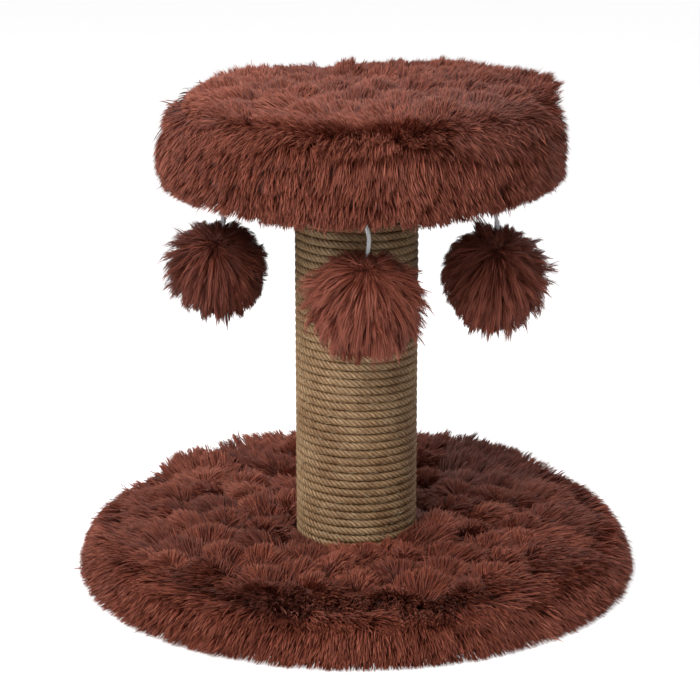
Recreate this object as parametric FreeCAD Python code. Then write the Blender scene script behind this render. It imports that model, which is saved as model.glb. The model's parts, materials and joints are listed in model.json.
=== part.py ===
import FreeCAD, Part
import math
import os

# Cat scratching post: a plush-covered round base, a rope-wound post, a plush-covered perch
# and three fur pompoms on short elastic cords.
# Millimetres. The origin is on the floor at the post's axis, +Z is up, the front is -Y.

V = FreeCAD.Vector
UP = V(0, 0, 1)

# ---- clearances ----
SEAM_GAP = 0.3            # between soft pieces and what they cover
THREAD_CLEARANCE = 0.05   # radial, screw thread in its nut
HOLE_CLEARANCE = 0.5      # radial, screw in a drilled hole

# ---- plush ----
BACKING = 1.5             # knitted backing under the pile
HEM_WIDTH = 17.5          # plush turned in under each board
BASE_PILE_HEIGHT = 16.5   # backing to the tops of the tufts
BASE_PILE_AT_POST = 8.5
BASE_PILE_REACH = 23.2    # side pile beyond the backing
BASE_PARTING = (0.38, 0.66)  # shares of the pile's reach and height where top and side part
BASE_TIP_HEIGHT = 7.0     # height of the side pile's widest place
BASE_TIP_CURL = 3.0       # how far its tips curl in above and below
PERCH_PILE_HEIGHT = 18.0  # backing to the tops of the tufts
PERCH_PILE_REACH = 19.2
PERCH_PARTING = 0.55      # share of the side pile's reach where top and side part
PERCH_PARTING_DROP = 5.0  # below the pad's top
PERCH_CROWN = 1.0         # fall of the top pile from the middle to where its edge rolls over
PERCH_ROLL = 10.0         # width of that edge, in from the board's edge
PERCH_SHOULDER = 4.5      # how far it arches above a straight fall
PERCH_PILE_DROP = 10.5    # side pile below the perch's hem
PERCH_TUCK = 10.0         # how far the hanging tips draw in at the bottom
PILE_CLEAR_OF_POST = 3.0  # the pile parts round the post's foot
TUFT_SPACING = 31.0       # from the middle of one tuft of the tops to the next
TUFT_RADIUS = 12.0        # where a tuft rises from the pile between the tufts
TUFT_RISE = 6.0
TUFT_ROOT = 5.0           # how deep a tuft reaches into the pile under it
GOLDEN_TURN = 180 * (3 - math.sqrt(5))  # degrees from one tuft to the next, so none line up

# ---- base ----
BASE_BOARD_RADIUS = 158.0
BASE_BOARD_THICKNESS = 15.0
BASE_LINING_THICKNESS = 2.0
COUNTERBORE_RADIUS = 16.0
COUNTERBORE_DEPTH = 8.0

# ---- post ----
TUBE_RADIUS = 35.0
TUBE_WALL = 3.0
POST_LENGTH = 243.0
PLUG_THICKNESS = 18.0
ROPE_DIAMETER = 5.1
ROPE_PITCH = 5.3
ROPE_TO_TUBE = 0.1
ROPE_SIDES = 8
NAILS_PER_PLUG = 4
NAIL_LENGTH = 18.0
NAIL_RADIUS = 0.7
NAIL_HEAD_RADIUS = 2.0
NAIL_HEAD_THICKNESS = 0.6

# ---- perch ----
PERCH_BOARD_RADIUS = 110.0
PERCH_BOARD_THICKNESS = 15.0
PERCH_PAD_THICKNESS = 25.0

# ---- screws ----
SCREW_RADIUS = 4.0
BOLT_LENGTH = 35.0
BOLT_HEAD_ACROSS_FLATS = 13.0
BOLT_HEAD_HEIGHT = 5.3
WASHER_RADIUS = 12.0
WASHER_THICKNESS = 2.0
STUD_LENGTH = 42.0
STUD_PAST_NUT = 0.5
NUT_BARREL_RADIUS = 5.0
NUT_BARREL_LENGTH = 9.0
NUT_FLANGE_RADIUS = 11.0
NUT_FLANGE_THICKNESS = 1.5
NUT_PRONGS = 4
PRONG_LENGTH = 5.0
PRONG_WIDTH = 2.5
PRONG_THICKNESS = 1.0

# ---- staples ----
STAPLE_WIDTH = 11.0
STAPLE_WIRE = 0.8
STAPLE_LEG = 8.0
BASE_STAPLES = 28
PERCH_STAPLES = 20
STAPLE_FROM_HEM_EDGE = 8.0
CROWN_SINK = 0.4          # crown drawn into the hem

# ---- pompoms ----
POMPOM_AZIMUTHS = {"left": 180.0, "front": -87.0, "right": -14.0}
HANGER_INSET = 2.5        # the hanger's crown inside the lining's edge
POMPOM_RADIUS = 31.0
POMPOM_DROP = 60.5        # ball's middle below the perch's lining
STUFFING_RADIUS = 12.0
TIE_RADIUS = 3.2
TIE_HEIGHT = 3.0
CHANNEL_CLEARANCE = 0.3   # radial, tie in the neck of the fur
CHANNEL_MOUTH_RADIUS = 8.0
CHANNEL_MOUTH_DEPTH = 11.0
CORD_DIAMETER = 2.5
LOOP_RADIUS = 2.3         # to the cord's middle, round the hanger's crown
HANGER_WIRE = 1.0
HANGER_BELOW_LINING = 4.2
KNOT_RADIUS = 2.4
KNOT_GAP = 0.5
KNOT_LIP = 0.1            # flat of the knot round the cord
# each cord's route from its knot to its tie: (sideways along +X, share of the drop)
CORD_ROUTES = {
    "left": [(0, 0), (0, 0.14), (2.3, 0.36), (2.4, 0.60), (0, 0.86), (0, 1)],
    "front": [(0, 0), (0, 0.14), (2.5, 0.38), (1.6, 0.62), (0, 0.86), (0, 1)],
    "right": [(0, 0), (0, 0.14), (1.5, 0.38), (2.5, 0.62), (0, 0.86), (0, 1)],
}
ARC_SHARE = 0.45          # of the shorter run beside a turn

# ---- heights, from the floor up ----
BASE_BOARD_BOTTOM = BASE_LINING_THICKNESS
BASE_BOARD_TOP = BASE_BOARD_BOTTOM + BASE_BOARD_THICKNESS
POST_BOTTOM = BASE_BOARD_TOP + BACKING
POST_TOP = POST_BOTTOM + POST_LENGTH
PERCH_BOARD_BOTTOM = POST_TOP + BACKING
PERCH_BOARD_TOP = PERCH_BOARD_BOTTOM + PERCH_BOARD_THICKNESS
PERCH_PAD_TOP = PERCH_BOARD_TOP + PERCH_PAD_THICKNESS

# ---- radii that follow ----
ROPE_RADIUS = ROPE_DIAMETER / 2
ROPE_AXIS_RADIUS = TUBE_RADIUS + ROPE_TO_TUBE + ROPE_RADIUS
POST_RADIUS = ROPE_AXIS_RADIUS + ROPE_RADIUS
PLUG_RADIUS = TUBE_RADIUS - TUBE_WALL
SCREW_HOLE_RADIUS = SCREW_RADIUS + HOLE_CLEARANCE
BARREL_HOLE_RADIUS = NUT_BARREL_RADIUS + THREAD_CLEARANCE
BASE_LINING_RADIUS = BASE_BOARD_RADIUS - HEM_WIDTH
PERCH_LINING_RADIUS = PERCH_BOARD_RADIUS - HEM_WIDTH

# ---- places of the hanging pieces ----
POMPOM_FROM_AXIS = PERCH_LINING_RADIUS - HANGER_INSET
POMPOM_CENTRE_HEIGHT = POST_TOP - POMPOM_DROP
HANGER_CROWN_HEIGHT = POST_TOP - HANGER_BELOW_LINING
CORD_RADIUS = CORD_DIAMETER / 2
LOOP_BOTTOM = HANGER_CROWN_HEIGHT - LOOP_RADIUS - CORD_RADIUS
KNOT_HEIGHT = LOOP_BOTTOM - KNOT_GAP - KNOT_RADIUS
KNOT_FLAT = KNOT_HEIGHT - math.sqrt(KNOT_RADIUS ** 2 - (CORD_RADIUS + KNOT_LIP) ** 2)
TIE_BOTTOM = POMPOM_CENTRE_HEIGHT + STUFFING_RADIUS + SEAM_GAP
TIE_TOP = TIE_BOTTOM + TIE_HEIGHT


# ---------------------------------------------------------------- shared shapes

def turned(start, *steps):
    """Solid turned about the post's axis from a closed outline of (radius, height) points.

    A step of one point is a straight line to it; a step of two points is an arc through
    the first one to the second.
    """
    edges = []
    here = V(start[0], 0, start[1])
    for step in steps + (start,):
        if isinstance(step[0], tuple):
            through, end = (V(radius, 0, height) for radius, height in step)
            edges.append(Part.Arc(here, through, end).toShape())
        else:
            end = V(step[0], 0, step[1])
            edges.append(Part.makeLine(here, end))
        here = end
    return Part.Face(Part.Wire(edges)).revolve(V(0, 0, 0), UP, 360)


def arched(start, end, bulge):
    """Height, by radius, of a line from start to end that is raised by bulge halfway."""
    def height_at(radius):
        share = (radius - start[0]) / (end[0] - start[0])
        return start[1] + share * (end[1] - start[1]) + 4 * bulge * share * (1 - share)
    return height_at


def tufts(inner, outer, height_at):
    """Low domes spread evenly over a ring of pile, whose height by radius is height_at."""
    ball_radius = (TUFT_RADIUS ** 2 + TUFT_RISE ** 2) / (2 * TUFT_RISE)
    ball_depth = ball_radius - TUFT_RISE
    rim = math.degrees(math.asin((ball_depth - TUFT_ROOT) / ball_radius))
    share = TUFT_SPACING ** 2 * math.sin(math.radians(60)) / math.pi
    domes = []
    for index in range(int((outer ** 2 - inner ** 2) / share)):
        radius = math.sqrt(inner ** 2 + (index + 0.5) * share)
        slope = (height_at(radius + 1) - height_at(radius - 1)) / 2
        outward = V(-slope, 0, 1).normalize()
        middle = V(radius, 0, height_at(radius)) - outward * ball_depth
        dome = Part.makeSphere(ball_radius, middle, outward, rim, 90, 360)
        domes.append(placed(dome, index * GOLDEN_TURN))
    return domes


def disc(radius, bottom, top, hole=0.0):
    solid = Part.makeCylinder(radius, top - bottom, V(0, 0, bottom))
    if hole:
        solid = solid.cut(Part.makeCylinder(hole, top - bottom, V(0, 0, bottom)))
    return solid


def block(length, width, bottom, top, x=0.0, y=0.0):
    """Upright block centred on (x, y), length along X and width along Y."""
    corner = V(x - length / 2, y - width / 2, bottom)
    return Part.makeBox(length, width, top - bottom, corner)


def placed(shape, azimuth, radius=0.0):
    """The shape moved out along X by radius, then turned about the post's axis."""
    copy = shape.copy()
    copy.translate(V(radius, 0, 0))
    copy.rotate(V(0, 0, 0), UP, azimuth)
    return copy


def ring_of(shape, count, radius):
    return [placed(shape, index * 360.0 / count, radius) for index in range(count)]


def staple(wire, crown_bottom, leg_top):
    """U-shaped wire with its crown along Y and its legs pointing up."""
    leg_place = (STAPLE_WIDTH - wire) / 2
    crown = block(wire, STAPLE_WIDTH, crown_bottom, crown_bottom + wire)
    legs = [block(wire, wire, crown_bottom, leg_top, y=side * leg_place) for side in (-1, 1)]
    return crown.fuse(legs).removeSplitter()


def cover_staples(count, board_radius, hem_bottom, board_bottom):
    """Staples round a hem, and the dents that their crowns are drawn into."""
    radius = board_radius - HEM_WIDTH + STAPLE_FROM_HEM_EDGE
    crown_bottom = hem_bottom + CROWN_SINK
    one = staple(STAPLE_WIRE, crown_bottom, board_bottom + STAPLE_LEG)
    dent = block(STAPLE_WIRE, STAPLE_WIDTH, hem_bottom, crown_bottom)
    return ring_of(one, count, radius), ring_of(dent, count, radius)


def nail(height):
    """Nail driven towards the post's axis through the tube's wall, its head flush."""
    head_face = V(TUBE_RADIUS - SEAM_GAP, 0, height)
    inward = V(-1, 0, 0)
    head = Part.makeCylinder(NAIL_HEAD_RADIUS, NAIL_HEAD_THICKNESS, head_face, inward)
    shank = Part.makeCylinder(NAIL_RADIUS, NAIL_LENGTH, head_face, inward)
    return head.fuse(shank).removeSplitter()


def nail_pocket(height):
    """What a nail takes out of the tube and the plug, open at the tube's outside."""
    gap = Part.makeCylinder(NAIL_HEAD_RADIUS, 2 * SEAM_GAP, V(TUBE_RADIUS + SEAM_GAP, 0, height),
                            V(-1, 0, 0))
    return nail(height).fuse(gap)


def nails(height, make):
    return [placed(make(height), (index + 0.5) * 360.0 / NAILS_PER_PLUG)
            for index in range(NAILS_PER_PLUG)]


def prongs(seat, away):
    """Prongs of a tee nut, from its seat into the wood on the side that away (1 or -1) points to."""
    low, high = sorted((seat, seat + away * PRONG_LENGTH))
    place = NUT_FLANGE_RADIUS - PRONG_THICKNESS / 2
    return ring_of(block(PRONG_THICKNESS, PRONG_WIDTH, low, high), NUT_PRONGS, place)


def tee_nut(seat, away):
    """Tee nut with its flange against the wood at height seat and its barrel in the wood."""
    flange_low, flange_high = sorted((seat, seat - away * NUT_FLANGE_THICKNESS))
    barrel_low, barrel_high = sorted((seat, seat + away * NUT_BARREL_LENGTH))
    flange = disc(NUT_FLANGE_RADIUS, flange_low, flange_high)
    barrel = disc(NUT_BARREL_RADIUS, barrel_low, barrel_high)
    bore = disc(SCREW_RADIUS + THREAD_CLEARANCE, min(flange_low, barrel_low),
                max(flange_high, barrel_high))
    return flange.fuse([barrel] + prongs(seat, away)).removeSplitter().cut(bore)


# ---------------------------------------------------------------- base

def base_lining():
    return disc(BASE_LINING_RADIUS - SEAM_GAP, 0, BASE_BOARD_BOTTOM, COUNTERBORE_RADIUS)


def base_board():
    board = disc(BASE_BOARD_RADIUS, BASE_BOARD_BOTTOM, BASE_BOARD_TOP, SCREW_HOLE_RADIUS)
    counterbore = disc(COUNTERBORE_RADIUS, BASE_BOARD_BOTTOM,
                       BASE_BOARD_BOTTOM + COUNTERBORE_DEPTH)
    return board.cut([counterbore] + base_cover_staples()[0])


def base_cover_staples():
    return cover_staples(BASE_STAPLES, BASE_BOARD_RADIUS, 0, BASE_BOARD_BOTTOM)


def base_parting():
    """Where the top pile and the side pile part: (radius, height)."""
    return (BASE_BOARD_RADIUS + BACKING + BASE_PARTING[0] * BASE_PILE_REACH,
            POST_BOTTOM + BASE_PARTING[1] * BASE_PILE_HEIGHT)


def base_plush_panel():
    edge = BASE_BOARD_RADIUS
    at_post = (POST_RADIUS + PILE_CLEAR_OF_POST, POST_BOTTOM + BASE_PILE_AT_POST)
    parting = base_parting()
    crest = ((at_post[0] + parting[0]) / 2, POST_BOTTOM + BASE_PILE_HEIGHT - TUFT_RISE)
    height_at = arched(at_post, parting, crest[1] - (at_post[1] + parting[1]) / 2)
    pile = turned(
        (SCREW_HOLE_RADIUS, BASE_BOARD_TOP),
        (edge, BASE_BOARD_TOP),
        (edge, POST_BOTTOM),
        parting,
        (crest, at_post),
        (at_post[0], POST_BOTTOM),
        (SCREW_HOLE_RADIUS, POST_BOTTOM),
    )
    return pile.fuse(tufts(at_post[0] + TUFT_RADIUS, edge - TUFT_RADIUS, height_at))


def base_plush_band():
    inside = BASE_BOARD_RADIUS + SEAM_GAP
    tips = inside + BACKING + BASE_PILE_REACH
    parting_radius, parting_height = base_parting()
    bulge = (tips - BASE_TIP_CURL, (parting_height + BASE_TIP_HEIGHT) / 2)
    band = turned(
        (BASE_LINING_RADIUS, 0),
        (BASE_LINING_RADIUS, BASE_BOARD_BOTTOM),
        (inside, BASE_BOARD_BOTTOM),
        (inside, POST_BOTTOM),
        (parting_radius + SEAM_GAP, parting_height),
        (bulge, (tips, BASE_TIP_HEIGHT)),
        (tips - BASE_TIP_CURL / 2, 0),
    )
    staples, dents = base_cover_staples()
    return band.cut(staples + dents)


def base_washer():
    ceiling = BASE_BOARD_BOTTOM + COUNTERBORE_DEPTH
    return disc(WASHER_RADIUS, ceiling - WASHER_THICKNESS, ceiling, SCREW_HOLE_RADIUS)


def base_bolt():
    head_top = BASE_BOARD_BOTTOM + COUNTERBORE_DEPTH - WASHER_THICKNESS
    corner_radius = BOLT_HEAD_ACROSS_FLATS / 2 / math.cos(math.radians(30))
    corners = [V(corner_radius * math.cos(math.radians(60 * index)),
                 corner_radius * math.sin(math.radians(60 * index)),
                 head_top - BOLT_HEAD_HEIGHT) for index in range(7)]
    head = Part.Face(Part.makePolygon(corners)).extrude(V(0, 0, BOLT_HEAD_HEIGHT))
    shank = disc(SCREW_RADIUS, head_top - BOLT_HEAD_HEIGHT, head_top + BOLT_LENGTH)
    return head.fuse(shank).removeSplitter()


# ---------------------------------------------------------------- post

def plug_nail_heights():
    return (POST_BOTTOM + PLUG_THICKNESS / 2, POST_TOP - PLUG_THICKNESS / 2)


def post_tube():
    tube = disc(TUBE_RADIUS, POST_BOTTOM, POST_TOP, PLUG_RADIUS + SEAM_GAP / 2)
    pockets = [pocket for height in plug_nail_heights() for pocket in nails(height, nail_pocket)]
    return tube.cut(pockets)


def post_plug(bottom, nut_seat, away, nail_height):
    plug = disc(PLUG_RADIUS, bottom, bottom + PLUG_THICKNESS, BARREL_HOLE_RADIUS)
    return plug.cut(prongs(nut_seat, away) + nails(nail_height, nail))


def plug_nails():
    return [one for height in plug_nail_heights() for one in nails(height, nail)]


def jute_rope():
    """One length of rope wound up the tube from the base to the perch, turn beside turn."""
    lowest = POST_BOTTOM + SEAM_GAP + ROPE_RADIUS
    height = POST_LENGTH - 2 * (SEAM_GAP + ROPE_RADIUS)
    helix = Part.makeLongHelix(ROPE_PITCH, height, ROPE_AXIS_RADIUS, 0.0, True)
    route = Part.Wire(helix.Edges)
    first = route.Edges[0]
    start = first.valueAt(first.FirstParameter)
    along = first.tangentAt(first.FirstParameter)
    outward = V(1, 0, 0)
    across = along.cross(outward)
    corners = []
    for index in range(ROPE_SIDES + 1):
        turn = 2 * math.pi * (index + 0.5) / ROPE_SIDES
        corners.append(start + outward * (ROPE_RADIUS * math.cos(turn))
                       + across * (ROPE_RADIUS * math.sin(turn)))
    rope = route.makePipeShell([Part.makePolygon(corners)], True, True)
    rope.translate(V(0, 0, lowest))
    return rope


# ---------------------------------------------------------------- perch

def perch_lining():
    lining = disc(PERCH_LINING_RADIUS - SEAM_GAP, POST_TOP, PERCH_BOARD_BOTTOM, SCREW_HOLE_RADIUS)
    return lining.cut(pompom_hangers())


def perch_cover_staples():
    return cover_staples(PERCH_STAPLES, PERCH_BOARD_RADIUS, POST_TOP, PERCH_BOARD_BOTTOM)


def perch_board():
    board = disc(PERCH_BOARD_RADIUS, PERCH_BOARD_BOTTOM, PERCH_BOARD_TOP, BARREL_HOLE_RADIUS)
    return board.cut(perch_cover_staples()[0] + pompom_hangers() + prongs(PERCH_BOARD_TOP, -1))


def perch_foam_pad():
    pad = disc(PERCH_BOARD_RADIUS, PERCH_BOARD_TOP, PERCH_PAD_TOP)
    pocket = disc(NUT_FLANGE_RADIUS + HOLE_CLEARANCE, PERCH_BOARD_TOP,
                  PERCH_BOARD_TOP + NUT_FLANGE_THICKNESS + 2 * STUD_PAST_NUT)
    return pad.cut(pocket)


def perch_parting():
    """Where the top pile and the side pile part: (radius, height)."""
    return (PERCH_BOARD_RADIUS + BACKING + PERCH_PARTING * PERCH_PILE_REACH,
            PERCH_PAD_TOP - PERCH_PARTING_DROP)


def perch_plush_panel():
    edge = PERCH_BOARD_RADIUS + BACKING
    middle = (0, PERCH_PAD_TOP + BACKING + PERCH_PILE_HEIGHT - TUFT_RISE)
    roll = (PERCH_BOARD_RADIUS - PERCH_ROLL, middle[1] - PERCH_CROWN)
    parting = perch_parting()
    crown_height = arched(middle, roll, 0)
    roll_height = arched(roll, parting, PERCH_SHOULDER)

    def height_at(radius):
        return crown_height(radius) if radius < roll[0] else roll_height(radius)

    shoulder_radius = (roll[0] + parting[0]) / 2
    pile = turned(
        (0, PERCH_PAD_TOP),
        (edge, PERCH_PAD_TOP),
        parting,
        ((shoulder_radius, height_at(shoulder_radius)), roll),
        middle,
    )
    return pile.fuse(tufts(0, PERCH_BOARD_RADIUS - TUFT_RADIUS, height_at))


def perch_plush_band():
    inside = PERCH_BOARD_RADIUS + SEAM_GAP
    backing_edge = inside + BACKING
    tips = backing_edge + PERCH_PILE_REACH
    fringe = POST_TOP - PERCH_PILE_DROP
    parting_radius, parting_height = perch_parting()
    seam_height = parting_height - SEAM_GAP
    middle = (fringe + 2 * seam_height) / 3
    fringe_radius = tips - PERCH_TUCK
    band = turned(
        (PERCH_LINING_RADIUS, POST_TOP),
        (PERCH_LINING_RADIUS, PERCH_BOARD_BOTTOM),
        (inside, PERCH_BOARD_BOTTOM),
        (inside, PERCH_PAD_TOP - SEAM_GAP),
        (backing_edge, PERCH_PAD_TOP - SEAM_GAP),
        (parting_radius, seam_height),
        ((tips, (middle + seam_height) / 2), (tips - SEAM_GAP, middle)),
        ((tips - PERCH_TUCK / 4, (middle + fringe) / 2), (fringe_radius, fringe)),
        (backing_edge, fringe),
        (backing_edge, POST_TOP),
    )
    staples, dents = perch_cover_staples()
    return band.cut(staples + dents)


def perch_stud():
    top = PERCH_BOARD_TOP + NUT_FLANGE_THICKNESS + STUD_PAST_NUT
    return disc(SCREW_RADIUS, top - STUD_LENGTH, top)


# ---------------------------------------------------------------- pompoms

def hanger():
    """Staple under the perch that a pompom's cord is looped over."""
    leg_top = PERCH_BOARD_BOTTOM + STAPLE_LEG
    return staple(HANGER_WIRE, HANGER_CROWN_HEIGHT - HANGER_WIRE / 2, leg_top)


def pompom_hangers():
    return [placed(hanger(), azimuth, POMPOM_FROM_AXIS) for azimuth in POMPOM_AZIMUTHS.values()]


def pompom_loop():
    return Part.makeTorus(LOOP_RADIUS, CORD_RADIUS, V(0, 0, HANGER_CROWN_HEIGHT), V(0, 1, 0))


def pompom_knot():
    """Overhand knot as a ball, flat underneath where the cord leaves it."""
    ball = Part.makeSphere(KNOT_RADIUS, V(0, 0, KNOT_HEIGHT))
    below = block(4 * KNOT_RADIUS, 4 * KNOT_RADIUS, KNOT_FLAT - 2 * KNOT_RADIUS, KNOT_FLAT)
    return ball.cut(below)


def pompom_tie():
    return disc(TIE_RADIUS, TIE_BOTTOM, TIE_TOP)


def pompom_stuffing():
    return Part.makeSphere(STUFFING_RADIUS, V(0, 0, POMPOM_CENTRE_HEIGHT))


def pompom_fur():
    """Ball of fur with a neck at the top where the cord goes in."""
    ball = Part.makeSphere(POMPOM_RADIUS, V(0, 0, POMPOM_CENTRE_HEIGHT))
    hollow = Part.makeSphere(STUFFING_RADIUS + SEAM_GAP, V(0, 0, POMPOM_CENTRE_HEIGHT))
    neck_radius = TIE_RADIUS + CHANNEL_CLEARANCE
    top = POMPOM_CENTRE_HEIGHT + POMPOM_RADIUS
    neck = disc(neck_radius, POMPOM_CENTRE_HEIGHT, top)
    mouth = Part.makeCone(neck_radius, CHANNEL_MOUTH_RADIUS, CHANNEL_MOUTH_DEPTH,
                          V(0, 0, top - CHANNEL_MOUTH_DEPTH))
    return ball.cut([hollow, neck, mouth])


def rounded_route(points):
    """Wire of straight runs joined by tangent arcs, each as large as its two runs allow."""
    edges = []
    here = points[0]
    for before, corner, after in zip(points, points[1:], points[2:]):
        run_in = corner - before
        run_out = after - corner
        half_turn = run_in.getAngle(run_out) / 2
        back = ARC_SHARE * min(run_in.Length, run_out.Length)
        radius = back / math.tan(half_turn)
        arc_start = corner - run_in.normalize() * back
        arc_end = corner + run_out.normalize() * back
        bisector = (arc_start + arc_end) * 0.5 - corner
        bulge = radius / math.cos(half_turn) - radius
        arc_middle = corner + bisector.normalize() * bulge
        edges.append(Part.makeLine(here, arc_start))
        edges.append(Part.Arc(arc_start, arc_middle, arc_end).toShape())
        print("cord arc radius %.1f mm" % radius)
        here = arc_end
    edges.append(Part.makeLine(here, points[-1]))
    return Part.Wire(edges)


def pompom_cord(side):
    """Elastic cord from its knot to its tie, in the row's own place."""
    azimuth = math.radians(POMPOM_AZIMUTHS[side])
    x = POMPOM_FROM_AXIS * math.cos(azimuth)
    y = POMPOM_FROM_AXIS * math.sin(azimuth)
    drop = KNOT_FLAT - TIE_TOP
    points = [V(x + sideways, y, KNOT_FLAT - share * drop) for sideways, share in CORD_ROUTES[side]]
    route = rounded_route(points)
    section = Part.Wire(Part.makeCircle(CORD_RADIUS, points[0], V(0, 0, -1)))
    cord = route.makePipeShell([section], True, True)
    expected = math.pi * CORD_RADIUS ** 2 * route.Length
    print("%s cord %.2f mm long, volume %.4f of section times length"
          % (side, route.Length, cord.Volume / expected))
    return cord


# ---------------------------------------------------------------- all pieces

def fixed_pieces():
    bottom_nail, top_nail = plug_nail_heights()
    bottom_seat = POST_BOTTOM + PLUG_THICKNESS
    top_seat = POST_TOP - PLUG_THICKNESS
    return {
        "base_lining": base_lining(),
        "base_board": base_board(),
        "base_plush_panel": base_plush_panel(),
        "base_plush_band": base_plush_band(),
        "base_cover_staples": Part.makeCompound(base_cover_staples()[0]),
        "base_washer": base_washer(),
        "base_bolt": base_bolt(),
        "post_tube": post_tube(),
        "post_bottom_plug": post_plug(POST_BOTTOM, bottom_seat, -1, bottom_nail),
        "post_top_plug": post_plug(top_seat, top_seat, 1, top_nail),
        "post_plug_nails": Part.makeCompound(plug_nails()),
        "post_bottom_tee_nut": tee_nut(bottom_seat, -1),
        "post_top_tee_nut": tee_nut(top_seat, 1),
        "post_jute_rope": jute_rope(),
        "perch_lining": perch_lining(),
        "perch_board": perch_board(),
        "perch_foam_pad": perch_foam_pad(),
        "perch_plush_panel": perch_plush_panel(),
        "perch_plush_band": perch_plush_band(),
        "perch_cover_staples": Part.makeCompound(perch_cover_staples()[0]),
        "perch_tee_nut": tee_nut(PERCH_BOARD_TOP, -1),
        "perch_stud": perch_stud(),
        "pompom_hanger_staples": Part.makeCompound(pompom_hangers()),
    }


def hanging_pieces():
    pieces = {}
    for side, azimuth in POMPOM_AZIMUTHS.items():
        for name, make in (("loop", pompom_loop), ("knot", pompom_knot), ("tie", pompom_tie),
                           ("stuffing", pompom_stuffing), ("fur", pompom_fur)):
            pieces["%s_pompom_%s" % (side, name)] = placed(make(), azimuth, POMPOM_FROM_AXIS)
        pieces["%s_pompom_cord" % side] = pompom_cord(side)
    return pieces


def main():
    os.makedirs("parts", exist_ok=True)
    pieces = fixed_pieces()
    pieces.update(hanging_pieces())
    for name, shape in pieces.items():
        shape.exportStep("parts/%s.step" % name)
        print("%-24s %3d solids %12.1f mm3 valid %s"
              % (name, len(shape.Solids), shape.Volume, shape.isValid()))


main()
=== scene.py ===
import itertools
import json
import math

import bpy
import numpy as np
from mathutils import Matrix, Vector

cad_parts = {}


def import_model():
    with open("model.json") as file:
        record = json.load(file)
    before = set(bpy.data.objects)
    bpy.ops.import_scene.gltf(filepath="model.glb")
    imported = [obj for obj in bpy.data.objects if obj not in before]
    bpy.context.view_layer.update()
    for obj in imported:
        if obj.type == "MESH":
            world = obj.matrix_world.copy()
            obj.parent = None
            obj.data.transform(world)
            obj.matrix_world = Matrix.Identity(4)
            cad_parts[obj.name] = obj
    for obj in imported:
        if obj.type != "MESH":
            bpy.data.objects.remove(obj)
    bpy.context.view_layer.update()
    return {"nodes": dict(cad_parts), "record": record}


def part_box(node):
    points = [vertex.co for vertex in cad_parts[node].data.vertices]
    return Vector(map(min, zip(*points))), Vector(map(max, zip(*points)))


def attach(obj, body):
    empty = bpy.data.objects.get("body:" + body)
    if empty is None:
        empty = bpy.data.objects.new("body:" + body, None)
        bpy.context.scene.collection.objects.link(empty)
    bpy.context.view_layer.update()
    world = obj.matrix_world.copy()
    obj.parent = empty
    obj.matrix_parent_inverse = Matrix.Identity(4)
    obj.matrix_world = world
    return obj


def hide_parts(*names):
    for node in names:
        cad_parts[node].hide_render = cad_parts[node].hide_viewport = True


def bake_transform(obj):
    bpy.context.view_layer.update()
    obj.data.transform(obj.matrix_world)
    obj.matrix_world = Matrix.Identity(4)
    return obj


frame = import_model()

# Cat scratching post. Metres, in the frame's own place: the origin is on the floor at the
# post's axis, +Z is up, the front is -Y.

MM = 0.001
NODES = frame["nodes"]
STAND = "stand"
UP = np.array([0.0, 0.0, 1.0])


def low(node):
    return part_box(node)[0].z


def high(node):
    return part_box(node)[1].z


def radius_of(node):
    """Radius of a node that is turned about the post's axis."""
    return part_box(node)[1].x


# ---- sizes from the frame ----
BASE_RADIUS = radius_of("base_board")
BASE_TIPS = radius_of("base_plush_band")
BASE_SKIN = high("base_board") + 1.5 * MM
PERCH_RADIUS = radius_of("perch_board")
PERCH_TIPS = radius_of("perch_plush_band")
PERCH_HEM = high("post_tube")
PERCH_SKIN = high("perch_foam_pad") + 1.5 * MM
PERCH_FRINGE = low("perch_plush_band")
PERCH_LINING_RADIUS = radius_of("perch_lining")
ROPE_OUTSIDE = radius_of("post_jute_rope")
BACKING = 1.5 * MM
SKIN_GAP = 0.3 * MM

# ---- rope, as in the model ----
ROPE_RADIUS = 2.55 * MM
ROPE_PITCH = 5.3 * MM
ROPE_AXIS = 37.65 * MM
POST_RADIUS = ROPE_AXIS + ROPE_RADIUS
ROPE_LAY = 16.5 * MM       # length of rope in which a strand goes once round
ROPE_STRIPS = 23           # turns side by side on the map of half the rope
ROPE_STRANDS = 5

# ---- pompoms, as in the model ----
POMPOM_AZIMUTHS = {"left": 180.0, "front": -87.0, "right": -14.0}
POMPOM_FROM_AXIS = 90.0 * MM
CORD_DIAMETER = 2.5 * MM
CORD_ROUTES = {  # millimetres to the right, and share of the way down from the knot to the tie
    "left": [(0, 0), (1.2, 0.12), (3.0, 0.32), (4.0, 0.58), (2.6, 0.82), (0, 1)],
    "front": [(0, 0), (1.4, 0.10), (2.6, 0.28), (2.0, 0.50), (0.5, 0.74), (0, 0.9), (0, 1)],
    "right": [(0, 0), (0.2, 0.12), (1.2, 0.32), (2.8, 0.58), (2.6, 0.82), (0, 1)],
}


# ---------------------------------------------------------------- numbers and noise

def unit(vectors):
    return vectors / np.maximum(np.linalg.norm(vectors, axis=-1, keepdims=True), 1e-12)


def lattice(cells, seed):
    """Fixed pseudo-random number from -1 to 1 for each whole-numbered cell."""
    mixed = (cells[:, 0] * 374761393 + cells[:, 1] * 668265263 + cells[:, 2] * 362437 + seed * 1274126177)
    mixed = (mixed ^ (mixed >> 13)) * 1274126177
    mixed = mixed ^ (mixed >> 16)
    return (mixed & 0xFFFF) / 32767.5 - 1.0


def noise(points, cell, seed):
    """Smooth noise from -1 to 1 whose patches are about one cell across."""
    scaled = points / cell
    base = np.floor(scaled).astype(np.int64)
    share = scaled - base
    share = share * share * (3 - 2 * share)
    total = np.zeros(len(points))
    for corner in itertools.product((0, 1), repeat=3):
        weight = np.prod(np.where(corner, share, 1 - share), axis=1)
        total += weight * lattice(base + np.array(corner), seed)
    return total


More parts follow.
